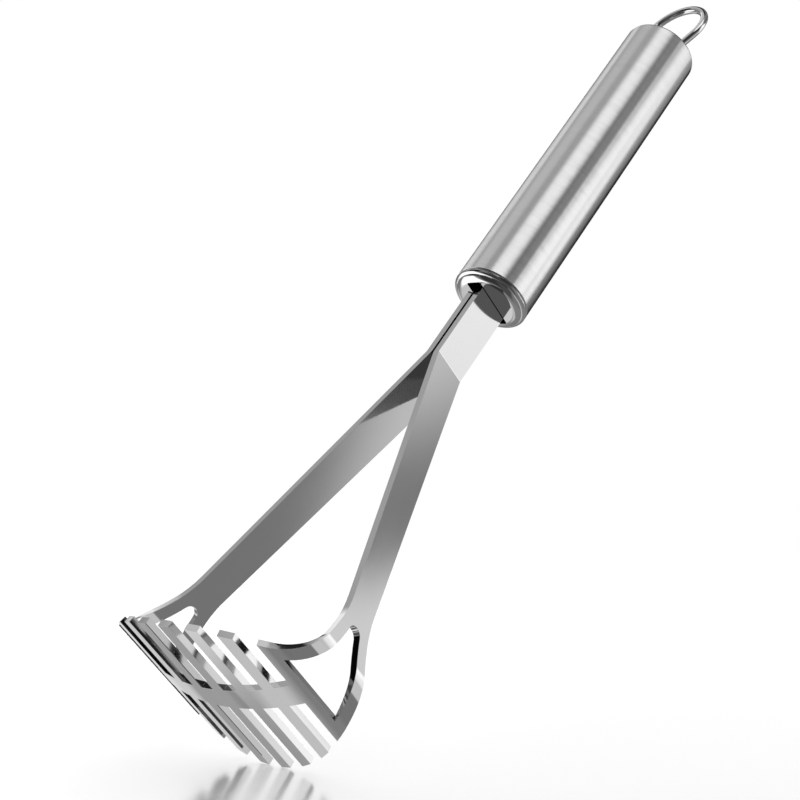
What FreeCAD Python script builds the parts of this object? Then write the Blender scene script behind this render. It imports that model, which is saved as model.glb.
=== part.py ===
"""Potato masher with a folded sheet-steel blade, a brushed tube handle and a wire hanging loop.

Frame: +Z runs up the handle, X along the head's spine, Y along its bars. The origin is the
lowest point of the head, in the middle of the spine. Lengths are in millimetres.
"""

import FreeCAD, Part
import math
import os

import Sketcher
from FreeCAD import Base, Vector

SHEET_NAME = "dims"

# alias, value, meaning
DRIVING_DIMENSIONS = [
    ("blade_thick", 2.0, "sheet thickness of the blade"),
    ("head_radius", 79.0, "radius of the rocker curve on the underside of the head"),
    ("bar_count", 8, "cross bars, the two end bars included"),
    ("bar_pitch", 8.66, "distance from bar to bar, along the curve"),
    ("bar_width", 3.64, "width of one bar, along the curve"),
    ("spine_width", 7.34, "width of the spine that joins the bars"),
    ("outline_half_length", 29.6, "half length that a bar in the very middle would have"),
    ("outline_radius", 44.8, "radius of the arc that the bar tips lie on"),
    ("fold_radius", 10.7, "outer radius of the fold between the head and an arm"),
    ("arm_lean", 17.83, "lean of each arm towards the handle axis, degrees"),
    ("yoke_leg_width", 3.6, "width of the two legs beside a yoke's window"),
    ("shoulder_along", 33.5, "distance from the middle to the end of a yoke's straight flank"),
    ("shoulder_half_width", 15.75, "half width of the yoke there"),
    ("neck_along", 53.0, "distance from the middle to the yoke's neck"),
    ("neck_half_width", 6.25, "half width of the yoke at its neck"),
    ("waist_radius", 33.0, "radius of the curve between neck and arm"),
    ("window_apex_radius", 2.5, "radius of the rounded top of a yoke's window"),
    ("bend_half_width", 6.35, "half width of an arm at its upper bend"),
    ("bend_radius", 1.5, "inside radius of the upper bend"),
    ("tail_half_width", 6.5, "half width of the tails at their ends"),
    ("tail_gap", 0.92, "gap between the two tails"),
    ("tail_top", 180.0, "height of the tails' ends, inside the handle"),
    ("tube_radius", 12.0, "outer radius of the handle tube"),
    ("tube_wall", 1.0, "wall of the handle tube"),
    ("tube_bottom", 152.05, "height of the tube's lower end"),
    ("tube_top", 268.9, "height of the tube's upper end"),
    ("tube_edge", 0.25, "bevel on the tube's outer end edges"),
    ("plug_clearance", 0.03, "radial clearance of the pieces that sit in the tube"),
    ("cap_face", 149.2, "height of the front cap's flat face"),
    ("cap_face_radius", 8.6, "radius of that flat face"),
    ("cap_crown_radius", 2.71, "radius of the curve from the flat face to the rim"),
    ("rim_inner_radius", 10.88, "radius of the crease between crown and rim"),
    ("rim_bottom", 150.45, "height of the crease and of the lowest point of the rim"),
    ("rim_round", 1.12, "rounding of the rim"),
    ("groove_bottom", 151.5, "height of the lower side of the shadow groove"),
    ("groove_radius", 11.4, "radius of the floor of the shadow groove"),
    ("cap_floor", 152.4, "height of the inside of the front cap's floor"),
    ("cap_skirt_top", 160.0, "height of the top of the front cap's skirt"),
    ("skirt_wall", 1.2, "wall of both caps' skirts"),
    ("slot_half_length", 8.5, "half length of the front cap's slot, along Y"),
    ("slot_half_width", 2.7, "half width of that slot, along X"),
    ("slot_corner", 0.8, "corner radius of that slot"),
    ("anchor_bottom", 160.4, "height of the lower face of the anchor plug"),
    ("anchor_top", 181.0, "height of the upper face of the anchor plug"),
    ("anchor_play", 0.05, "play of the tails in the anchor plug, each side"),
    ("pin_radius", 2.0, "radius of the anchor pins"),
    ("pin_play", 0.03, "radial play of the anchor pins in their holes"),
    ("pin_low", 165.7, "height of the lower anchor pin"),
    ("pin_high", 175.7, "height of the upper anchor pin"),
    ("pin_end_gap", 0.25, "gap between each end of an anchor pin and the wall of the bore"),
    ("spacer_play", 0.01, "play of the spacer between the tails, each side"),
    ("spacer_inset", 0.5, "how far the spacer's long edges stay inside the tails' edges"),
    ("rear_skirt_bottom", 260.0, "height of the bottom of the rear cap's skirt"),
    ("rear_floor", 267.2, "height of the inside of the rear cap's floor"),
    ("rear_edge", 269.4, "height of the top of the rear cap's edge"),
    ("rear_edge_radius", 0.45, "rounding of that edge"),
    ("rear_crown", 0.7, "rise of the rear cap's face from its edge to its middle"),
    ("wire_radius", 1.25, "radius of the hanging loop's wire"),
    ("foot_play", 0.05, "radial play of the loop's feet in their holes"),
    ("foot_offset", 6.25, "distance of each foot of the loop from the handle axis"),
    ("foot_bend", 3.0, "radius of the bend where a foot starts to flare"),
    ("loop_flare", 25.0, "outward lean of the loop's sides, degrees"),
    ("loop_head_radius", 10.35, "radius of the loop's round top, to the middle of the wire"),
    ("loop_top", 292.3, "height of the top of the loop, to the middle of the wire"),
    ("lock_thick", 1.6, "thickness of the plate that the feet are riveted over"),
    ("lock_half_length", 8.2, "half length of that plate, along X"),
    ("lock_half_width", 3.6, "half width of that plate, along Y"),
    ("rivet_head_radius", 2.0, "radius of the upset end of each foot"),
    ("rivet_head_height", 0.9, "height of the upset end of each foot"),
]

X_AXIS = Vector(1, 0, 0)
Y_AXIS = Vector(0, 1, 0)
Z_AXIS = Vector(0, 0, 1)
ORIGIN = Vector(0, 0, 0)


# ---------------------------------------------------------------- sizes


class Size:
    """A number together with the expression that gives it from the sheet."""

    def __init__(self, value, text):
        self.value = value
        self.text = text

    def joined(self, other, sign, value):
        text = other.text if isinstance(other, Size) else repr(other)
        return Size(value, f"({self.text} {sign} {text})")

    def __add__(self, other):
        return self.joined(other, "+", self.value + number(other))

    def __sub__(self, other):
        return self.joined(other, "-", self.value - number(other))

    def __mul__(self, other):
        return self.joined(other, "*", self.value * number(other))

    def __truediv__(self, other):
        return self.joined(other, "/", self.value / number(other))

    def __neg__(self):
        return Size(-self.value, f"(0 - {self.text})")

    def of_angle(self, function):
        """sin, cos or tan of a size in degrees."""
        value = getattr(math, function)(math.radians(self.value))
        return Size(value, f"{function}({self.text} * 1deg)")


def number(size):
    return size.value if isinstance(size, Size) else float(size)


def make_sheet(doc):
    """Write the driving dimensions into a spreadsheet and return them by alias."""
    sheet = doc.addObject("Spreadsheet::Sheet", SHEET_NAME)
    for row, (alias, value, meaning) in enumerate(DRIVING_DIMENSIONS, start=1):
        sheet.set(f"A{row}", meaning)
        sheet.set(f"B{row}", str(value))
        sheet.setAlias(f"B{row}", alias)
    doc.recompute()
    return {
        alias: Size(float(getattr(sheet, alias)), f"{SHEET_NAME}.{alias}")
        for alias, _, _ in DRIVING_DIMENSIONS
    }


# ---------------------------------------------------------------- building helpers


def new_body(doc, label):
    body = doc.addObject("PartDesign::Body", label)
    body.Label = label
    return body


def origin_feature(body, role):
    for feature in body.Origin.OriginFeatures:
        if feature.Role == role:
            return feature
    raise ValueError(f"{body.Label} has no {role}")


def bind(target, field, size):
    """Give a field its value from the sheet."""
    setattr(target, field, number(size))
    target.setExpression(field, size.text)


def pin_down(sketch, geometry, point, place):
    """Fix both coordinates of a sketch point, bound to the sheet."""
    for kind, other_axis, size in (("DistanceX", -2, place[0]), ("DistanceY", -1, place[1])):
        if number(size) == 0:
            sketch.addConstraint(Sketcher.Constraint("PointOnObject", geometry, point, other_axis))
            continue
        constraint = Sketcher.Constraint(kind, -1, 1, geometry, point, number(size))
        index = sketch.addConstraint(constraint)
        if isinstance(size, Size):
            sketch.setExpression(f"Constraints[{index}]", size.text)


def new_sketch(body, name, role, height=None):
    """A sketch on one of the body's origin planes, raised by height along its normal."""
    sketch = body.newObject("Sketcher::SketchObject", name)
    sketch.AttachmentSupport = [(origin_feature(body, role), "")]
    sketch.MapMode = "FlatFace"
    if height is not None:
        sketch.AttachmentOffset = Base.Placement(Vector(0, 0, number(height)), Base.Rotation())
        sketch.setExpression("AttachmentOffset.Base.z", height.text)
    return sketch


def arc_between(start, end, radius):
    """The shorter arc from start to end, with its centre on the left for a positive radius."""
    run = (end[0] - start[0], end[1] - start[1])
    chord = math.hypot(*run)
    offset = math.copysign(math.sqrt(radius**2 - chord**2 / 4), radius)
    centre = (
        (start[0] + end[0]) / 2 - run[1] / chord * offset,
        (start[1] + end[1]) / 2 + run[0] / chord * offset,
    )
    first = math.atan2(start[1] - centre[1], start[0] - centre[0])
    last = math.atan2(end[1] - centre[1], end[0] - centre[0])
    if radius < 0:
        first, last = last, first
    circle = Part.Circle(Vector(*centre, 0), Z_AXIS, abs(radius))
    return Part.ArcOfCircle(circle, first, first + (last - first) % (2 * math.pi))


def draw_outline(sketch, corners, arcs=None, closed=True):
    """Draw straight sides from corner to corner; arcs maps a side's number to its signed radius."""
    arcs = arcs or {}
    count = len(corners)
    sides = count if closed else count - 1
    places = [(number(x), number(y)) for x, y in corners]
    for side in range(sides):
        start, end = places[side], places[(side + 1) % count]
        if side in arcs:
            sketch.addGeometry(arc_between(start, end, number(arcs[side])), False)
        else:
            sketch.addGeometry(Part.LineSegment(Vector(*start, 0), Vector(*end, 0)), False)
    ends = [side_ends(sketch, side, places[side]) for side in range(sides)]
    for side in range(1 if not closed else 0, sides):
        before = (side - 1) % sides
        joint = Sketcher.Constraint("Coincident", before, ends[before][1], side, ends[side][0])
        sketch.addConstraint(joint)
    for side in range(sides):
        pin_down(sketch, side, ends[side][0], corners[side])
    if not closed:
        pin_down(sketch, sides - 1, ends[-1][1], corners[-1])
    for side, radius in arcs.items():
        index = sketch.addConstraint(Sketcher.Constraint("Radius", side, abs(number(radius))))
        size = radius if number(radius) > 0 else -radius
        if isinstance(size, Size):
            sketch.setExpression(f"Constraints[{index}]", size.text)


def side_ends(sketch, side, start):
    """Which end of a side is its start: an arc always runs anticlockwise."""
    first = sketch.Geometry[side].StartPoint
    starts_there = math.hypot(first.x - start[0], first.y - start[1]) < 1e-6
    return (1, 2) if starts_there else (2, 1)


def draw_circle(sketch, place, radius):
    centre = Vector(number(place[0]), number(place[1]), 0)
    index = sketch.addGeometry(Part.Circle(centre, Z_AXIS, number(radius)), False)
    pin_down(sketch, index, 3, place)
    constraint = sketch.addConstraint(Sketcher.Constraint("Radius", index, number(radius)))
    if isinstance(radius, Size):
        sketch.setExpression(f"Constraints[{constraint}]", radius.text)


def revolve(body, name, corners, arcs=None):
    """Turn a profile in the XZ plane round the handle axis."""
    sketch = new_sketch(body, name + "_profile", "XZ_Plane")
    draw_outline(sketch, corners, arcs)
    turned = body.newObject("PartDesign::Revolution", name)
    turned.Profile = sketch
    turned.ReferenceAxis = (sketch, ["V_Axis"])
    turned.Angle = 360


def pad(body, name, sketch, height):
    """Raise a sketch along its own normal."""
    feature = body.newObject("PartDesign::Pad", name)
    feature.Profile = sketch
    bind(feature, "Length", height)


def pocket(body, name, sketch, depth, both_ways=False):
    """Cut a sketch along its own normal, or half the depth to each side of its plane."""
    feature = body.newObject("PartDesign::Pocket", name)
    feature.Profile = sketch
    feature.Midplane = both_ways
    feature.Reversed = not both_ways
    bind(feature, "Length", depth)


def rectangle(half_x, half_y):
    return [(-half_x, -half_y), (half_x, -half_y), (half_x, half_y), (-half_x, half_y)]


def rounded_rectangle(half_x, half_y, corner):
    """Corners and corner arcs of a rectangle with rounded corners, run anticlockwise."""
    flat_x = half_x - corner
    flat_y = half_y - corner
    corners = [
        (-flat_x, -half_y),
        (flat_x, -half_y),
        (half_x, -flat_y),
        (half_x, flat_y),
        (flat_x, half_y),
        (-flat_x, half_y),
        (-half_x, flat_y),
        (-half_x, -flat_y),
    ]
    return corners, {1: corner, 3: corner, 5: corner, 7: corner}


# ---------------------------------------------------------------- the folded blade


class Zone:
    """A stretch of the folded sheet: a cylinder or a plane that flat coordinates map onto.

    Flat coordinates are the distance along the sheet from the middle of the head, measured
    on the outer face, and the distance across it. depth 0 is the outer face, and a depth of
    the sheet's thickness is the inner face. radius is None on a flat stretch.
    """

    def __init__(self, start, centre, radius, angle, along, beside, turn=1, scale=None):
        self.start = start
        self.centre = centre
        self.radius = radius
        self.angle = angle
        self.frame = (along, beside)
        self.turn = turn
        self.scale = scale or radius or 1.0

    def surface(self, depth):
        along, beside = self.frame
        normal = along.cross(beside)
        if self.radius is None:
            surface = Part.Plane()
            centre = self.centre - normal * depth
        else:
            surface = Part.Cylinder()
            surface.Radius = self.radius - self.turn * depth
            centre = self.centre
        placed = FreeCAD.Matrix(
            along.x, beside.x, normal.x, centre.x,
            along.y, beside.y, normal.y, centre.y,
            along.z, beside.z, normal.z, centre.z,
            0, 0, 0, 1,
        )  # fmt: skip
        surface.transform(placed)
        return surface

    def on_surface(self, place):
        along, across = place
        return Base.Vector2d(self.angle + self.turn * (along - self.start) / self.scale, -across)

    def edge(self, side, surface):
        """One side of a flat outline, laid on the surface."""
        if len(side) == 2:
            start, end = side
            line = Part.Geom2d.Line2dSegment(self.on_surface(start), self.on_surface(end))
            return line.toShape(surface)
        start, end, centre = side
        curve = flat_arc(start, end, centre).toBSpline()
        for pole in range(1, curve.NbPoles + 1):
            flat = curve.getPole(pole)
            curve.setPole(pole, self.on_surface((flat.x, flat.y)))
        return curve.toShape(surface)

    def solid(self, sides, thick):
        """The sheet inside a closed flat outline, with walls square to the sheet."""
        rims = []
        faces = []
        for depth in (0, thick):
            surface = self.surface(depth)
            rim = [self.edge(side, surface) for side in sides]
            face = Part.Face(surface, Part.Wire(rim))
            face.validate()
            rims.append(rim)
            faces.append(face)
        walls = [sheet_wall(outer, inner) for outer, inner in zip(*rims)]
        shell = Part.makeShell(faces + walls)
        shell.sewShape()
        solid = Part.Solid(shell)
        solid.fix(1e-6, 1e-6, 1e-6)
        return solid


def sheet_wall(outer, inner):
    """The cut edge of the sheet between its two faces, flat where it can be."""
    ruled = Part.makeRuledSurface(outer, inner)
    plane = ruled.OuterWire.findPlane(1e-7)
    return Part.Face(plane, ruled.OuterWire) if plane else ruled


def flat_arc(start, end, centre):
    """The shorter arc about centre from start to end, in flat coordinates."""
    radius = math.hypot(start[0] - centre[0], start[1] - centre[1])
    first = math.atan2(start[1] - centre[1], start[0] - centre[0])
    last = math.atan2(end[1] - centre[1], end[0] - centre[0])
    if (last - first) % (2 * math.pi) > math.pi:
        first, last = last, first
    circle = Part.Geom2d.Circle2d(Base.Vector2d(*centre), radius)
    return Part.Geom2d.ArcOfCircle2d(circle, first, last)


def mirrored(side):
    """A side of a flat outline, on the other side of the spine and run the other way."""
    places = [(along, -across) for along, across in side]
    return [places[1], places[0]] + places[2:]


def closed_by_mirror(half):
    """Close an outline that is drawn on one side of the middle line only, from end to end."""
    other_half = [mirrored(side) for side in reversed(half)]
    sides = list(half)
    if half[-1][1][1]:
        sides.append([half[-1][1], other_half[0][0]])
    sides += other_half
    if half[0][0][1]:
        sides.append([other_half[-1][1], half[0][0]])
    return sides


class Yoke:
    """The flat outline of a yoke and its arm, on the side where across is positive."""

    def __init__(self, size, bend_along):
        tip_along = (size["bar_count"] - 1) / 2 * size["bar_pitch"] - size["bar_width"] / 2
        self.base_along = tip_along + size["bar_width"]
        self.tip = (tip_along, outline_at(size, tip_along))
        self.shoulder = (size["shoulder_along"], size["shoulder_half_width"])
        self.neck = (size["neck_along"], size["neck_half_width"])
        self.bend = (bend_along, size["bend_half_width"])
        run = (self.shoulder[0] - self.tip[0], self.shoulder[1] - self.tip[1])
        length = math.hypot(*run)
        self.outward = (-run[1] / length, run[0] / length)
        self.outward_slope = self.outward[0] / self.outward[1]

        # The flank's arc leaves the straight flank at a tangent and passes through the neck.
        chord = (self.neck[0] - self.shoulder[0], self.neck[1] - self.shoulder[1])
        lean = self.outward[0] * chord[0] + self.outward[1] * chord[1]
        self.flank_radius = (chord[0] ** 2 + chord[1] ** 2) / (2 * lean)
        self.flank_centre = self.stepped(self.shoulder, self.flank_radius)

        # The waist arc goes on from the neck at a tangent, and then the arm's edge from it.
        towards = [
            (c - n) / self.flank_radius for c, n in zip(self.flank_centre, self.neck)
        ]
        radius = size["waist_radius"]
        self.waist_centre = (self.neck[0] + towards[0] * radius, self.neck[1] + towards[1] * radius)
        away = (self.bend[0] - self.waist_centre[0], self.bend[1] - self.waist_centre[1])
        bearing = math.atan2(away[1], away[0]) - math.acos(radius / math.hypot(*away))
        self.waist = (
            self.waist_centre[0] + radius * math.cos(bearing),
            self.waist_centre[1] + radius * math.sin(bearing),
        )

        # The window keeps one leg width inside the flank, up to its rounded top.
        leg = size["yoke_leg_width"]
        apex = size["window_apex_radius"]
        self.window_radius = self.flank_radius + leg
        reach = self.window_radius + apex
        run_in = math.sqrt(reach**2 - self.flank_centre[1] ** 2)
        self.apex_centre = (self.flank_centre[0] - run_in, 0.0)
        share = self.window_radius / reach
        self.window_end = (
            self.flank_centre[0] - run_in * share,
            self.flank_centre[1] * (1 - share),
        )
        self.apex = (self.apex_centre[0] + apex, 0.0)
        self.window_corner = self.on_flank(self.base_along, self.window_radius)

    def stepped(self, place, distance):
        return (
            place[0] + self.outward[0] * distance,
            place[1] + self.outward[1] * distance,
        )

    def on_flank(self, along, radius):
        rise = math.sqrt(radius**2 - (along - self.flank_centre[0]) ** 2)
        return (along, self.flank_centre[1] - rise)

    def on_straight_flank(self, along):
        return (along, self.tip[1] - (along - self.tip[0]) * self.outward_slope)


def outline_at(size, along):
    """Half length of a bar's edge that lies this far from the middle."""
    radius = size["outline_radius"]
    return size["outline_half_length"] - radius + math.sqrt(radius**2 - along**2)


def head_sides(size, yoke, fold_along):
    """One half of the head's outline: bars and slots, from the left fold to the right one."""
    spine = size["spine_width"] / 2
    half_bar = size["bar_width"] / 2
    count = int(size["bar_count"])
    middle = (0.0, size["outline_half_length"] - size["outline_radius"])
    edge_end = yoke.on_straight_flank(fold_along)
    first_tip = (-yoke.tip[0], yoke.tip[1])
    sides = [[(-edge_end[0], edge_end[1]), first_tip]]
    for bar in range(1, count):
        slot_middle = (bar - count / 2) * size["bar_pitch"]
        left = slot_middle - size["bar_pitch"] / 2 + half_bar
        right = slot_middle + size["bar_pitch"] / 2 - half_bar
        left_tip = (left, outline_at(size, left))
        right_tip = (right, outline_at(size, right))
        sides.append([left_tip, (left, spine)])
        sides.append([(left, spine), (right, spine)])
        sides.append([(right, spine), right_tip])
        if bar < count - 1:
            far = right + size["bar_width"]
            sides.append([right_tip, (far, outline_at(size, far)), middle])
    sides.append([yoke.tip, edge_end])
    return sides


class FoldedPath:
    """The line that the sheet's outer face follows, seen along Y, as five zones in a row."""

    def __init__(self, size):
        thick = size["blade_thick"]
        head_radius = size["head_radius"]
        fold_radius = size["fold_radius"]
        bend_radius = size["bend_radius"]
        lean = math.radians(size["arm_lean"])
        down = -Z_AXIS
        across = -Y_AXIS

        # The head is a rocker curve, and its ends run on into the folds at a tangent.
        head_end = (size["bar_count"] - 1) / 2 * size["bar_pitch"]
        head_angle = head_end / head_radius
        head_centre = Vector(0, 0, head_radius)
        inward = Vector(-math.sin(head_angle), 0, math.cos(head_angle))
        fold_centre = head_centre - inward * (head_radius - fold_radius)
        fold_end = head_end + fold_radius * (math.pi / 2 + lean - head_angle)

        # The arms lean towards each other until the upper bend sets them parallel.
        arm_outward = Vector(math.cos(lean), 0, math.sin(lean))
        arm_along = Vector(-math.sin(lean), 0, math.cos(lean))
        arm_foot = fold_centre + arm_outward * fold_radius
        self.tail_face = size["tail_gap"] / 2 + thick
        bend_x = self.tail_face + bend_radius * (1 - math.cos(lean))
        arm_length = (arm_foot.x - bend_x) / math.sin(lean)
        bend_start = fold_end + arm_length
        bend_centre = arm_foot + arm_along * arm_length + arm_outward * bend_radius
        bend_scale = bend_radius + thick / 2
        bend_end = bend_start + lean * bend_scale
        tail_foot = Vector(self.tail_face, 0, bend_centre.z)
        self.tail_end = bend_end + size["tail_top"] - tail_foot.z

        self.head = Zone(0.0, head_centre, head_radius, 0.0, down, X_AXIS)
        self.fold = Zone(head_end, fold_centre, fold_radius, head_angle, down, X_AXIS)
        self.arm = Zone(fold_end, arm_foot, None, 0.0, arm_along, across)
        self.bend = Zone(bend_start, bend_centre, bend_radius, lean, -X_AXIS, down, -1, bend_scale)
        self.tail = Zone(bend_end, tail_foot, None, 0.0, Z_AXIS, across)


def side_outlines(size, path, yoke):
    """Each zone beyond the head, with one half of its flat outline."""
    head_end = path.fold.start
    bend_start = path.bend.start
    bend_end = path.tail.start
    outer_cut = yoke.on_flank(path.arm.start, yoke.flank_radius)
    window_cut = yoke.on_flank(path.arm.start, yoke.window_radius)
    bend_out = (bend_end, yoke.bend[1])
    tail_out = (path.tail_end, size["tail_half_width"])
    fold_half = [
        [(yoke.base_along, 0.0), yoke.window_corner],
        [yoke.window_corner, window_cut, yoke.flank_centre],
        [window_cut, outer_cut],
        [outer_cut, yoke.shoulder, yoke.flank_centre],
        [yoke.shoulder, yoke.on_straight_flank(head_end)],
        [yoke.on_straight_flank(head_end), (head_end, 0.0)],
    ]
    arm_half = [
        [yoke.apex, yoke.window_end, yoke.apex_centre],
        [yoke.window_end, window_cut, yoke.flank_centre],
        [window_cut, outer_cut],
        [outer_cut, yoke.neck, yoke.flank_centre],
        [yoke.neck, yoke.waist, yoke.waist_centre],
        [yoke.waist, yoke.bend],
        [yoke.bend, (bend_start, 0.0)],
    ]
    bend_half = [
        [(bend_start, 0.0), yoke.bend],
        [yoke.bend, bend_out],
        [bend_out, (bend_end, 0.0)],
    ]
    tail_half = [
        [(bend_end, 0.0), bend_out],
        [bend_out, tail_out],
        [tail_out, (path.tail_end, 0.0)],
    ]
    return [
        (path.fold, fold_half),
        (path.arm, arm_half),
        (path.bend, bend_half),
        (path.tail, tail_half),
    ]


def make_blade(doc, dims):
    """The blade: one sheet, cut flat, then folded up at both ends and bent into two tails."""
    size = {alias: value.value for alias, value in dims.items()}
    thick = size["blade_thick"]
    path = FoldedPath(size)
    yoke = Yoke(size, path.bend.start)
    head_half = head_sides(size, yoke, path.fold.start)
    head = path.head.solid(closed_by_mirror(head_half), thick)
    side = [zone.solid(closed_by_mirror(half), thick) for zone, half in side_outlines(size, path, yoke)]
    other_side = [piece.mirror(ORIGIN, X_AXIS) for piece in side]
    sheet = head.multiFuse(side + other_side)
    hole_radius = size["pin_radius"] + size["pin_play"]
    for height in (size["pin_low"], size["pin_high"]):
        start = Vector(-2 * path.tail_face, 0, height)
        sheet = sheet.cut(Part.makeCylinder(hole_radius, 4 * path.tail_face, start, X_AXIS))
    blade = doc.addObject("Part::Feature", "masher_blade")
    blade.Shape = sheet.removeSplitter().Solids[0]
    blade.Placement = FreeCAD.Placement()
    return blade


# ---------------------------------------------------------------- the handle


def make_handle_tube(doc, dims):
    """The grip: a plain drawn tube with lightly bevelled ends."""
    outer = dims["tube_radius"]
    bore = outer - dims["tube_wall"]
    edge = dims["tube_edge"]
    low, high = dims["tube_bottom"], dims["tube_top"]
    body = new_body(doc, "handle_tube")
    corners = [
        (bore, low),
        (outer - edge, low),
        (outer, low + edge),
        (outer, high - edge),
        (outer - edge, high),
        (bore, high),
    ]
    revolve(body, "tube_wall_ring", corners)
    return body


def make_front_cap(doc, dims):
    """The polished cap that closes the lower end, with a slot that the tails pass through."""
    skirt_outer = dims["tube_radius"] - dims["tube_wall"] - dims["plug_clearance"]
    skirt_inner = skirt_outer - dims["skirt_wall"]
    body = new_body(doc, "front_cap")
    corners = [
        (0, dims["cap_face"]),
        (dims["cap_face_radius"], dims["cap_face"]),
        (dims["rim_inner_radius"], dims["rim_bottom"]),
        (dims["tube_radius"], dims["groove_bottom"]),
        (dims["groove_radius"], dims["groove_bottom"]),
        (dims["groove_radius"], dims["tube_bottom"]),
        (skirt_outer, dims["tube_bottom"]),
        (skirt_outer, dims["cap_skirt_top"]),
        (skirt_inner, dims["cap_skirt_top"]),
        (skirt_inner, dims["cap_floor"]),
        (0, dims["cap_floor"]),
    ]
    revolve(body, "front_cap_turned", corners, {1: dims["cap_crown_radius"], 2: dims["rim_round"]})
    slot = new_sketch(body, "front_slot_outline", "XY_Plane", dims["cap_face"])
    half_x, half_y = dims["slot_half_width"], dims["slot_half_length"]
    draw_outline(slot, *rounded_rectangle(half_x, half_y, dims["slot_corner"]))
    pocket(body, "front_slot", slot, dims["cap_skirt_top"] - dims["cap_face"])
    return body


def cut_pin_holes(body, dims, heights):
    """Holes along X for the anchor pins, right through the body."""
    sketch = new_sketch(body, body.Label + "_pin_holes", "YZ_Plane")
    for height in heights:
        draw_circle(sketch, (0, height), dims["pin_radius"] + dims["pin_play"])
    pocket(body, body.Label + "_pin_hole_cut", sketch, dims["tube_radius"] * 2, both_ways=True)


def make_anchor_plug(doc, dims):
    """The plug inside the tube that grips the tails and carries the two pins."""
    radius = dims["tube_radius"] - dims["tube_wall"] - dims["plug_clearance"]
    play = dims["anchor_play"]
    length = dims["anchor_top"] - dims["anchor_bottom"]
    body = new_body(doc, "anchor_plug")
    disc = new_sketch(body, "anchor_disc", "XY_Plane", dims["anchor_bottom"])
    draw_circle(disc, (0, 0), radius)
    pad(body, "anchor_block", disc, length)
    half_x = dims["tail_gap"] / 2 + dims["blade_thick"] + play
    half_y = dims["tail_half_width"] + play
    slot = new_sketch(body, "anchor_slot_outline", "XY_Plane", dims["anchor_bottom"])
    draw_outline(slot, rectangle(half_x, half_y))
    pocket(body, "anchor_slot", slot, length)
    cut_pin_holes(body, dims, (dims["pin_low"], dims["pin_high"]))
    return body


def make_tail_spacer(doc, dims):
    """The strip between the tails that keeps them apart where the pins clamp them."""
    half_x = dims["tail_gap"] / 2 - dims["spacer_play"]
    half_y = dims["tail_half_width"] - dims["spacer_inset"]
    body = new_body(doc, "tail_spacer")
    sketch = new_sketch(body, "spacer_section", "XY_Plane", dims["anchor_bottom"])
    draw_outline(sketch, rectangle(half_x, half_y))
    pad(body, "spacer_strip", sketch, dims["tail_top"] - dims["anchor_bottom"])
    cut_pin_holes(body, dims, (dims["pin_low"], dims["pin_high"]))
    return body


def make_anchor_pin(doc, dims, label, height):
    """A plain pin along X, just shorter than the tube's bore."""
    half_length = dims["tube_radius"] - dims["tube_wall"] - dims["pin_end_gap"]
    pin = doc.addObject("Part::Cylinder", label)
    pin.Label = label
    bind(pin, "Radius", dims["pin_radius"])
    bind(pin, "Height", half_length * 2)
    turned = FreeCAD.Rotation(Y_AXIS, 90)
    pin.Placement = FreeCAD.Placement(Vector(-half_length.value, 0, height.value), turned)
    pin.setExpression("Placement.Base.x", (-half_length).text)
    pin.setExpression("Placement.Base.z", height.text)
    return pin


def make_rear_cap(doc, dims):
    """The low-crowned cap that closes the upper end, with two holes for the loop's feet."""
    skirt_outer = dims["tube_radius"] - dims["tube_wall"] - dims["plug_clearance"]
    skirt_inner = skirt_outer - dims["skirt_wall"]
    edge = dims["rear_edge_radius"]
    flange = dims["tube_radius"] - dims["tube_edge"] / 2
    crown_reach = flange - edge
    rise = dims["rear_crown"]
    crown_radius = (crown_reach * crown_reach + rise * rise) / (rise * 2)
    body = new_body(doc, "rear_cap")
    corners = [
        (0, dims["rear_floor"]),
        (skirt_inner, dims["rear_floor"]),
        (skirt_inner, dims["rear_skirt_bottom"]),
        (skirt_outer, dims["rear_skirt_bottom"]),
        (skirt_outer, dims["tube_top"]),
        (flange, dims["tube_top"]),
        (flange, dims["rear_edge"] - edge),
        (crown_reach, dims["rear_edge"]),
        (0, dims["rear_edge"] + rise),
    ]
    revolve(body, "rear_cap_turned", corners, {6: edge, 7: crown_radius})
    holes = new_sketch(body, "foot_hole_centres", "XY_Plane", dims["rear_skirt_bottom"])
    for offset in (dims["foot_offset"], -dims["foot_offset"]):
        draw_circle(holes, (offset, 0), dims["wire_radius"] + dims["foot_play"])
    depth = dims["rear_edge"] + rise * 2 - dims["rear_skirt_bottom"]
    pocket(body, "foot_holes", holes, depth)
    return body


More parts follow.
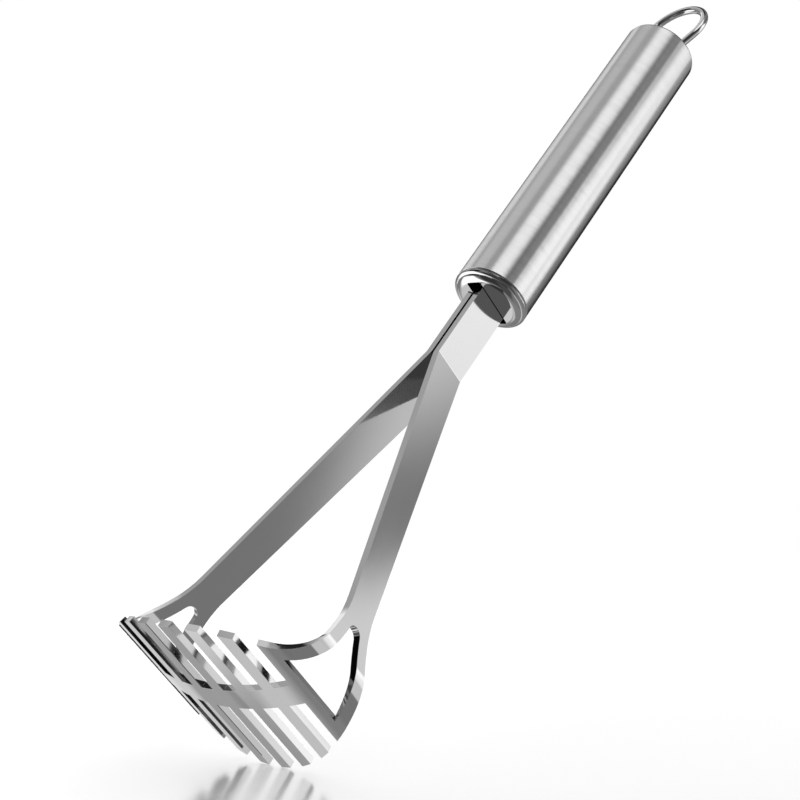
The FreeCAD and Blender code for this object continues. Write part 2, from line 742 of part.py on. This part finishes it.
def make_hanging_loop(doc, dims):
    """A bent wire: two feet through the rear cap, flared sides and a round top."""
    flare_sin = dims["loop_flare"].of_angle("sin")
    flare_cos = dims["loop_flare"].of_angle("cos")
    flare_tan = dims["loop_flare"].of_angle("tan")
    head = dims["loop_head_radius"]
    bend = dims["foot_bend"]
    foot_x = dims["foot_offset"]
    foot_end = dims["rear_floor"] - dims["lock_thick"] - dims["rivet_head_height"]
    head_middle = dims["loop_top"] - head
    flared = (foot_x + bend - bend * flare_cos, None)
    touch = (head * flare_cos, head_middle - head * flare_sin)
    flared = (flared[0], touch[1] - (touch[0] - flared[0]) / flare_tan)
    bend_foot = flared[1] - bend * flare_sin

    body = new_body(doc, "hanging_loop")
    path = new_sketch(body, "loop_path", "XZ_Plane")
    right = [(foot_x, foot_end), (foot_x, bend_foot), flared, touch]
    left = [(-x, height) for x, height in reversed(right)]
    corners = right + [(0, dims["loop_top"])] + left
    draw_outline(path, corners, {1: -bend, 3: head, 4: head, 6: -bend}, closed=False)
    section = new_sketch(body, "wire_section", "XY_Plane", foot_end)
    draw_circle(section, (foot_x, 0), dims["wire_radius"])
    wire = body.newObject("PartDesign::AdditivePipe", "loop_wire")
    wire.Profile = section
    wire.Spine = path
    heads = new_sketch(body, "rivet_heads_outline", "XY_Plane", foot_end)
    for offset in (foot_x, -foot_x):
        draw_circle(heads, (offset, 0), dims["rivet_head_radius"])
    pad(body, "rivet_heads", heads, dims["rivet_head_height"])
    return body


def make_lock_plate(doc, dims):
    """The plate under the rear cap's floor that the loop's feet are riveted over."""
    body = new_body(doc, "loop_lock_plate")
    bottom = dims["rear_floor"] - dims["lock_thick"]
    section = new_sketch(body, "lock_plate_outline", "XY_Plane", bottom)
    half_x, half_y = dims["lock_half_length"], dims["lock_half_width"]
    draw_outline(section, *rounded_rectangle(half_x, half_y, dims["wire_radius"]))
    for offset in (dims["foot_offset"], -dims["foot_offset"]):
        draw_circle(section, (offset, 0), dims["wire_radius"] + dims["foot_play"])
    pad(body, "lock_plate", section, dims["lock_thick"])
    return body


# ---------------------------------------------------------------- build, check, write


def check_document(doc, nodes):
    doc.recompute()
    for item in doc.Objects:
        if "Invalid" in item.State or "Error" in item.State:
            raise RuntimeError(f"{item.Label} failed: {item.State}")
    for node in nodes:
        if node.Shape.isNull() or not node.Shape.isValid():
            raise RuntimeError(f"{node.Label} has no valid shape")
        if len(node.Shape.Solids) != 1:
            raise RuntimeError(f"{node.Label} has {len(node.Shape.Solids)} solids")


def main():
    doc = FreeCAD.newDocument("potato_masher")
    dims = make_sheet(doc)
    nodes = [
        make_blade(doc, dims),
        make_handle_tube(doc, dims),
        make_front_cap(doc, dims),
        make_anchor_plug(doc, dims),
        make_tail_spacer(doc, dims),
        make_anchor_pin(doc, dims, "anchor_pin_lower", dims["pin_low"]),
        make_anchor_pin(doc, dims, "anchor_pin_upper", dims["pin_high"]),
        make_rear_cap(doc, dims),
        make_hanging_loop(doc, dims),
        make_lock_plate(doc, dims),
    ]
    check_document(doc, nodes)
    os.makedirs("parts", exist_ok=True)
    for node in nodes:
        node.Shape.exportStep(f"parts/{node.Label}.step")
        box = node.Shape.optimalBoundingBox()
        spans = f"{box.XLength:.2f} x {box.YLength:.2f} x {box.ZLength:.2f}"
        print(f"{node.Label}: {node.Shape.Volume:.1f} mm3, {spans} mm")


main()
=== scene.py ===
"""Looks of a potato masher: a polished steel sheet blade, a brushed tube handle and a bent wire loop."""

from math import cos, pi, radians, sin

import bmesh
import bpy
from mathutils import Matrix, Vector


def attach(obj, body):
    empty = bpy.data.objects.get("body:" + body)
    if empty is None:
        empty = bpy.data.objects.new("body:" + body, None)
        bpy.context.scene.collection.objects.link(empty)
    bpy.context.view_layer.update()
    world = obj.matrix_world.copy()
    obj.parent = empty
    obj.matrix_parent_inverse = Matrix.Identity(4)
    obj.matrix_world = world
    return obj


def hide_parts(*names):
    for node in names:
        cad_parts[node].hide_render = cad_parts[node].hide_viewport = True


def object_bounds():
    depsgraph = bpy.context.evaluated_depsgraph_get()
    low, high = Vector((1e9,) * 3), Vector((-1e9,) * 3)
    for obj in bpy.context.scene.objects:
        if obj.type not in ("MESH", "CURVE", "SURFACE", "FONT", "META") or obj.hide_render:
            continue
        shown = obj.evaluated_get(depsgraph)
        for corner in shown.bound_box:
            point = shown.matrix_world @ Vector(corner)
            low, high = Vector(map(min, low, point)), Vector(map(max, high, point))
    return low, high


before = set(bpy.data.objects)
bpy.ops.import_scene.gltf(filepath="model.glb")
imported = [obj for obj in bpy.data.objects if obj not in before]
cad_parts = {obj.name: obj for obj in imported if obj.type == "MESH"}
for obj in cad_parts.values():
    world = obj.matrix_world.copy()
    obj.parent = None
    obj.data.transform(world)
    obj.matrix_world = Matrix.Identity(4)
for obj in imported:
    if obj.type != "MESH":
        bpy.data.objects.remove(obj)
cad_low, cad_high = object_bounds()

MM = 0.001

# The tool leans back from the floor, standing on the corners of its head.
LEAN = radians(48.08)
X_AXIS = Vector((1, 0, 0))
FLOOR_NORMAL = Vector((0, -sin(LEAN), cos(LEAN)))
UP_SLOPE = Vector((0, cos(LEAN), sin(LEAN)))

# The camera, by its angles over that floor and its distance from the middle of the tool.
CAMERA_AZIMUTH = radians(-45.277)
CAMERA_ELEVATION = radians(2.787)
CAMERA_ROLL = radians(-2.21)
CAMERA_DISTANCE = 572.2 * MM
CAMERA_NEAR_LIMIT = 10 * MM
LENS = 86.3
SENSOR = 36.0

# How far right of the picture's middle, and how far above it, the middle of the tool lies.
FRAMING_RIGHT = 24.78 * MM
FRAMING_UP = 27.14 * MM


# ---------------------------------------------------------------- camera

def spherical(azimuth, elevation, forward, sideways):
    """The direction at an azimuth and elevation over the floor, in the tool's own frame."""
    level = cos(azimuth) * forward + sin(azimuth) * sideways
    return cos(elevation) * level + sin(elevation) * FLOOR_NORMAL


CAMERA_BACK = spherical(CAMERA_AZIMUTH, CAMERA_ELEVATION, X_AXIS, UP_SLOPE)
LEVEL_RIGHT = (-CAMERA_BACK).cross(FLOOR_NORMAL).normalized()
LEVEL_FORWARD = FLOOR_NORMAL.cross(LEVEL_RIGHT).normalized()


def make_camera():
    """The camera, aimed past the middle of the tool so that the tool fills the picture."""
    level_up = LEVEL_RIGHT.cross(-CAMERA_BACK)
    right = cos(CAMERA_ROLL) * LEVEL_RIGHT + sin(CAMERA_ROLL) * level_up
    up = CAMERA_BACK.cross(right)
    middle = (cad_low + cad_high) / 2
    place = middle + CAMERA_DISTANCE * CAMERA_BACK - FRAMING_RIGHT * right - FRAMING_UP * up
    data = bpy.data.cameras.new("camera")
    data.lens = LENS
    data.sensor_width = SENSOR
    data.clip_start = CAMERA_NEAR_LIMIT
    camera = bpy.data.objects.new("camera", data)
    turn = Matrix((right, up, CAMERA_BACK)).transposed()
    camera.matrix_world = Matrix.Translation(place) @ turn.to_4x4()
    bpy.context.scene.collection.objects.link(camera)
    bpy.context.scene.camera = camera


# ---------------------------------------------------------------- node trees

class Tree:
    """Short names for building one node tree."""

    def __init__(self, tree):
        self.tree = tree
        tree.nodes.clear()

    def add(self, kind, inputs=(), **settings):
        """A node of that kind, with its settings and its inputs by name or number."""
        node = self.tree.nodes.new(kind)
        for name, value in settings.items():
            setattr(node, name, value)
        for name, value in dict(inputs).items():
            self.feed(node.inputs[name], value)
        return node

    def feed(self, socket, value):
        """Links a socket to another, or sets its value."""
        if isinstance(value, bpy.types.NodeSocket):
            self.tree.links.new(value, socket)
        else:
            socket.default_value = value

    def math(self, operation, *values):
        return self.add("ShaderNodeMath", enumerate(values), operation=operation).outputs[0]

    def dot(self, vector, direction):
        node = self.add("ShaderNodeVectorMath", {0: vector, 1: direction}, operation="DOT_PRODUCT")
        return node.outputs["Value"]

    def ramp(self, value, low, high, start=0.0, end=1.0):
        """A smooth step from start to end as value goes from low to high."""
        inputs = {"Value": value, "From Min": low, "From Max": high, "To Min": start, "To Max": end}
        node = self.add("ShaderNodeMapRange", inputs, interpolation_type="SMOOTHSTEP")
        return node.outputs["Result"]

    def mix(self, factor, first, second):
        """A blend of two colours. Its sockets share names, so they go by number."""
        node = self.add("ShaderNodeMix", {0: factor, 6: first, 7: second}, data_type="RGBA")
        return node.outputs[2]

    def noise(self, vector, scale, detail, roughness=0.5):
        inputs = {"Vector": vector, "Scale": scale, "Detail": detail, "Roughness": roughness}
        return self.add("ShaderNodeTexNoise", inputs).outputs["Fac"]

    def stretched(self, vector, scale):
        """The place with each axis scaled, so that a noise draws lines along the small one."""
        inputs = {"Vector": vector, "Scale": scale}
        return self.add("ShaderNodeMapping", inputs).outputs["Vector"]


def grey(value):
    return (value, value, value, 1.0)


# ---------------------------------------------------------------- studio light

# A panel shows only in directions whose cosine with its middle is above this.
IN_FRONT = 0.01


def panel(tree, direction, azimuth, elevation, width, height, edge, turn):
    """How much of a soft-edged rectangular light or flag lies in a direction, from 0 to 1."""
    centre = spherical(radians(azimuth), radians(elevation), LEVEL_FORWARD, LEVEL_RIGHT)
    sideways = centre.cross(FLOOR_NORMAL).normalized()
    upward = sideways.cross(centre)
    across = cos(radians(turn)) * sideways + sin(radians(turn)) * upward
    along = cos(radians(turn)) * upward - sin(radians(turn)) * sideways
    depth = tree.math("MAXIMUM", tree.dot(direction, centre), 0.1 * IN_FRONT)
    share = tree.math("GREATER_THAN", depth, IN_FRONT)
    for axis, size in ((across, width), (along, height)):
        reach = tree.math("ARCTAN2", tree.math("ABSOLUTE", tree.dot(direction, axis)), depth)
        inside = tree.ramp(reach, radians(size / 2 - edge / 2), radians(size / 2 + edge / 2), 1.0, 0.0)
        share = tree.math("MULTIPLY", share, inside)
    return share


# Each light or flag: azimuth and elevation of its middle, width, height and edge softness in degrees,
# its turn, and the share of white that polished steel shows where it reflects it. Azimuth 0 is away
# from the camera and 90 is to its right. A later one covers an earlier one.
PANELS = (
    # the dim room behind the camera, and the dull floor at its right
    (180, 0, 70, 130, 30, 0, 0.28),
    (152, 30, 50, 44, 16, 0, 0.18),
    (-140, -5, 50, 50, 16, 0, 0.20),
    (130, -45, 44, 50, 14, 0, 0.44),
    # the ceiling at the left
    (-50, 42, 64, 30, 14, 0, 0.60),
    (-46, 66, 38, 30, 12, 0, 0.72),
    # the large soft box at the left, and the bright floor under it
    (-82, -26, 44, 62, 10, 0, 1.02),
    (-36, -38, 26, 22, 12, 0, 0.62),
    (-54, -63, 28, 14, 10, 0, 0.74),
    (-53, -49, 6, 6, 3, 0, 0.80),
    (-48, -45, 5, 4, 2, 0, 0.34),
    # the backdrop: bright left of the tool, with dark flags behind it
    (-23, -22, 26, 20, 8, 0, 0.80),
    (-9, -13, 12, 9, 4, 0, 0.15),
    (-21, 27, 18, 32, 8, 0, 0.93),
    (16, -3, 44, 28, 20, 0, 0.06),
    (-6, 11, 16, 14, 8, 0, 0.38),
    (6, -5, 18, 18, 6, 0, 0.06),
    (12, 56, 36, 18, 8, 42, 0.14),
    # the ceiling at the right and overhead, with the strip light that draws the handle's middle line
    (112, 34, 24, 22, 12, 0, 0.52),
    (0, 88, 24, 24, 16, 0, 0.64),
    (140, 66, 36, 33, 10, 0, 0.94),
    # the large soft box at the right, cut off aslant above, with its dimmer lower corner
    (87, 3, 50, 50, 8, 0, 0.98),
    (74, 28, 42, 28, 8, 24, 0.36),
    (86, -3, 16, 12, 8, 0, 0.90),
    (99, -12, 22, 16, 10, 0, 0.72),
    (103, -20.5, 21, 16, 3, 0, 0.74),
    # small reflectors beside it, which shade the near arm
    (66, 2, 5, 6, 4, 0, 0.78),
    (44, -2, 20, 11, 8, 0, 0.62),
    (62.5, 7.5, 6, 6, 3, 0, 0.46),
    (58, 12, 9, 7, 4, 0, 0.74),
    # the black flag above the left soft box
    (-98, 27, 34, 36, 6, 0, 0.05),
)

# What lies between the panels above the horizon and below it, and the sines of the elevations
# between which the one turns into the other.
UPPER_SHOWN = 0.44
LOWER_SHOWN = 0.48
HORIZON = (-0.15, 0.10)

STEEL_REFLECTANCE = 0.50
DISPLAY_GAMMA = 2.2


def radiance(shown):
    """The linear brightness of a light that polished steel shows as that share of white."""
    return grey(shown ** DISPLAY_GAMMA / STEEL_REFLECTANCE)


def make_studio():
    """A white surround for the camera, and soft lights and dark flags for the steel to reflect."""
    world = bpy.data.worlds.new("studio")
    world.use_nodes = True
    bpy.context.scene.world = world
    tree = Tree(world.node_tree)
    direction = tree.add("ShaderNodeTexCoord").outputs["Generated"]
    height = tree.dot(direction, FLOOR_NORMAL)
    colour = tree.mix(tree.ramp(height, *HORIZON), radiance(LOWER_SHOWN), radiance(UPPER_SHOWN))
    for azimuth, elevation, width, tall, edge, turn, shown in PANELS:
        share = panel(tree, direction, azimuth, elevation, width, tall, edge, turn)
        colour = tree.mix(share, colour, radiance(shown))
    seen = tree.add("ShaderNodeLightPath").outputs["Is Camera Ray"]
    colour = tree.mix(seen, colour, grey(1.0))
    background = tree.add("ShaderNodeBackground", {"Color": colour})
    output = tree.add("ShaderNodeOutputWorld", {"Surface": background.outputs[0]})
    output.is_active_output = True
    bpy.context.scene.view_settings.view_transform = "Standard"


# ---------------------------------------------------------------- floor

FLOOR_REACH = 500 * MM
FADE_START = 0.5 * FLOOR_REACH
FADE_END = 0.95 * FLOOR_REACH
FLOOR_PAINT = 0.8
FLOOR_ROUGHNESS = (0.14, 0.18)
FLOOR_GRAIN_SCALE = 900.0
FLOOR_GRAIN_RANGE = (0.3, 0.7)

# How quickly the floor turns from matt to mirror as it is seen more aslant.
GLANCE_POWER = 2.5

# Soft boxes that only the floor sees: azimuth and elevation in degrees, then in metres the distance,
# width and height, and last the brightness. One is the floor's reflected backdrop, and the other
# casts the tool's shadow.
FLOOR_LIGHTS = {
    "floor_backdrop": (0, 18, 1.4, 2.6, 1.2, 1.15),
    "floor_side": (84, 16, 0.9, 0.25, 0.25, 6.0),
}


def lowest_point():
    """The point of the tool that reaches furthest down to the floor."""
    corners = [v.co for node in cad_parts.values() for v in node.data.vertices]
    return min(corners, key=lambda point: point.dot(FLOOR_NORMAL))


def floor_material(foot):
    """White paint that mirrors when seen aslant, clear from below and clear far from the foot."""
    material = bpy.data.materials.new("floor_white")
    material.use_nodes = True
    tree = Tree(material.node_tree)
    place = tree.add("ShaderNodeTexCoord").outputs["Object"]
    apart = tree.add("ShaderNodeVectorMath", {0: place, 1: foot}, operation="DISTANCE")
    solid = tree.ramp(apart.outputs["Value"], FADE_START, FADE_END, 1.0, 0.0)
    behind = tree.add("ShaderNodeNewGeometry").outputs["Backfacing"]
    solid = tree.math("MULTIPLY", solid, tree.math("SUBTRACT", 1.0, behind))
    grain = tree.noise(place, FLOOR_GRAIN_SCALE, detail=4.0)
    paint = tree.add("ShaderNodeBsdfDiffuse", {"Color": grey(FLOOR_PAINT)})
    polish = tree.ramp(grain, *FLOOR_GRAIN_RANGE, *FLOOR_ROUGHNESS)
    gloss = tree.add("ShaderNodeBsdfGlossy", {"Color": grey(1.0), "Roughness": polish})
    facing = tree.add("ShaderNodeLayerWeight", {"Blend": 0.5}).outputs["Facing"]
    share = tree.math("POWER", facing, GLANCE_POWER)
    surface = tree.add("ShaderNodeMixShader", {0: share, 1: paint.outputs[0], 2: gloss.outputs[0]})
    clear = tree.add("ShaderNodeBsdfTransparent")
    shown = tree.add("ShaderNodeMixShader", {0: solid, 1: clear.outputs[0], 2: surface.outputs[0]})
    tree.add("ShaderNodeOutputMaterial", {"Surface": shown.outputs[0]})
    return material


def make_floor():
    """A white floor under the corners that the tool stands on, with its own two lights."""
    contact = lowest_point()
    foot = Vector((0, contact.y, contact.z))
    sides = ((-1, -1), (1, -1), (1, 1), (-1, 1))
    corners = [foot + FLOOR_REACH * (a * X_AXIS + b * UP_SLOPE) for a, b in sides]
    mesh = bpy.data.meshes.new("floor")
    mesh.from_pydata(corners, [], [(0, 1, 2, 3)])
    mesh.materials.append(floor_material(foot))
    floor = bpy.data.objects.new("floor", mesh)
    bpy.context.scene.collection.objects.link(floor)
    floor.visible_glossy = False

    lit = bpy.data.collections.new("lit_floor")
    lit.objects.link(floor)
    for name, numbers in FLOOR_LIGHTS.items():
        floor_light(name, lit, foot, *numbers)


def floor_light(name, lit, foot, azimuth, elevation, distance, width, height, brightness):
    """A rectangular light that faces the foot and lights one collection only."""
    data = bpy.data.lights.new(name, "AREA")
    data.shape = "RECTANGLE"
    data.size = width
    data.size_y = height
    data.energy = brightness * pi * width * height
    light = bpy.data.objects.new(name, data)
    toward = spherical(radians(azimuth), radians(elevation), LEVEL_FORWARD, LEVEL_RIGHT)
    light.location = foot + distance * toward
    sideways = FLOOR_NORMAL.cross(toward).normalized()
    turn = Matrix((sideways, toward.cross(sideways), toward)).transposed()
    light.rotation_euler = turn.to_euler()
    light.visible_camera = False
    bpy.context.scene.collection.objects.link(light)
    light.light_linking.receiver_collection = lit


# ---------------------------------------------------------------- materials

# The tint of every finish's reflection where it is seen aslant, and then that of the brushed tube,
# whose highlights are drawn out by the anisotropy after a quarter turn.
EDGE_TINT = 0.72
BRUSHED_EDGE_TINT = 0.6
BRUSHED_ANISOTROPY = 0.85
QUARTER_TURN = 0.25

# The painted shade in the valleys between marks: their colour as a share of the colour on the ridges.
VALLEY_SHADE_SHARE = 0.94

# The values of the marks' noise at which the roughness has reached its two ends.
MARK_RANGE = (0.2, 0.8)

# Noise scales, in cells to the metre before any stretching.
FINE_LINES = 9000.0
POLISH_PATCHES = 240.0
BRUSH_BANDS = 700.0
CAST_GRAINS = 2600.0


def polish_marks(tree, place):
    """Fine polishing lines along the sheet, in broken streaks of different depth."""
    fine = tree.noise(tree.stretched(place, (1.0, 1.0, 0.05)), FINE_LINES, detail=3.0)
    broad = tree.noise(tree.stretched(place, (1.0, 1.0, 0.25)), POLISH_PATCHES, detail=3.0)
    return tree.mix(0.35, fine, broad)


def brush_lines(tree, place):
    """Brushing round the tube: lines far finer along its axis than around it."""
    fine = tree.noise(tree.stretched(place, (0.03, 0.03, 1.0)), FINE_LINES, detail=3.0)
    broad = tree.noise(tree.stretched(place, (0.08, 0.08, 1.0)), BRUSH_BANDS, detail=3.0)
    return tree.mix(0.3, fine, broad)


def cast_grain(tree, place):
    """The even grain of a casting or of unpolished steel."""
    return tree.noise(place, CAST_GRAINS, detail=5.0, roughness=0.65)


# Each material slot: its colour, the range of its roughness, the height of its bump, and its marks.
FINISHES = {
    "polished_steel": (0.52, (0.05, 0.09), 0.0006 * MM, polish_marks),
    "polished_wire": (0.55, (0.03, 0.07), 0.0006 * MM, polish_marks),
    "brushed_steel": (0.52, (0.15, 0.27), 0.001 * MM, brush_lines),
    "cast_aluminium": (0.60, (0.35, 0.55), 0.02 * MM, cast_grain),
    "plain_steel": (0.56, (0.18, 0.30), 0.004 * MM, cast_grain),
}


def metal(slot):
    """The finish of one material slot."""
    colour, roughness, bump, scratches = FINISHES[slot]
    material = bpy.data.materials.new(slot + "_look")
    material.use_nodes = True
    tree = Tree(material.node_tree)
    place = tree.add("ShaderNodeTexCoord").outputs["Object"]
    marks = scratches(tree, place)
    relief = tree.add("ShaderNodeBump", {"Height": marks, "Distance": bump, "Strength": 1.0})
    surface = tree.add("ShaderNodeBsdfPrincipled", {
        # Painted shade: the colour is darker in the valleys of the marks than on their ridges.
        "Base Color": tree.mix(marks, grey(colour * VALLEY_SHADE_SHARE), grey(colour)),
        "Metallic": 1.0,
        "Specular Tint": grey(EDGE_TINT),
        "Roughness": tree.ramp(marks, *MARK_RANGE, *roughness),
        "Normal": relief.outputs[0],
    })
    if slot == "brushed_steel":
        draw_out(tree, surface)
    tree.add("ShaderNodeOutputMaterial", {"Surface": surface.outputs[0]})
    return material


def draw_out(tree, surface):
    """Draws the tube's highlights out along its axis, across the brush lines."""
    surface.inputs["Specular Tint"].default_value = grey(BRUSHED_EDGE_TINT)
    surface.inputs["Anisotropic"].default_value = BRUSHED_ANISOTROPY
    surface.inputs["Anisotropic Rotation"].default_value = QUARTER_TURN
    tangent = tree.add("ShaderNodeTangent", direction_type="RADIAL", axis="Z")
    tree.feed(surface.inputs["Tangent"], tangent.outputs[0])


def make_materials():
    """A finish for every material slot of the record, given to the nodes that use it."""
    looks = {slot: metal(slot) for slot in FINISHES}
    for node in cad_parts.values():
        for slot in node.material_slots:
            slot.material = looks[slot.material.name]
    return looks


# ---------------------------------------------------------------- blade

# Corners closer than WELD become one. Faces that meet at less than FLAT become one, and at more than
# CREASE they meet in a cut edge, which is rounded over.
WELD = 0.0001 * MM
FLAT = radians(1.0)
CREASE = radians(30)
EDGE_ROUND = 0.16 * MM
EDGE_SEGMENTS = 2

# The highest weight, with which large faces set the shading and small ones follow.
FACE_WEIGHT = 100


def make_blade_sheet(looks):
    """The blade's sheet with its cut edges rounded over, as tumbling and polishing leave them."""
    shape = bmesh.new()
    shape.from_mesh(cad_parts["masher_blade"].data)
    bmesh.ops.remove_doubles(shape, verts=shape.verts, dist=WELD)
    bmesh.ops.dissolve_limit(shape, angle_limit=FLAT, verts=shape.verts[:], edges=shape.edges[:])
    for face in shape.faces:
        face.smooth = True
    mesh = bpy.data.meshes.new("blade_sheet")
    shape.to_mesh(mesh)
    shape.free()
    mesh.materials.append(looks["polished_steel"])
    sheet = bpy.data.objects.new("blade_sheet", mesh)
    bpy.context.scene.collection.objects.link(sheet)
    rounding = sheet.modifiers.new("edge_rounding", "BEVEL")
    rounding.width = EDGE_ROUND
    rounding.segments = EDGE_SEGMENTS
    rounding.limit_method = "ANGLE"
    rounding.angle_limit = CREASE
    shading = sheet.modifiers.new("flat_faces_stay_flat", "WEIGHTED_NORMAL")
    shading.weight = FACE_WEIGHT
    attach(sheet, "root")
    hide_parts("masher_blade")


make_camera()
make_studio()
make_floor()
finishes = make_materials()
make_blade_sheet(finishes)
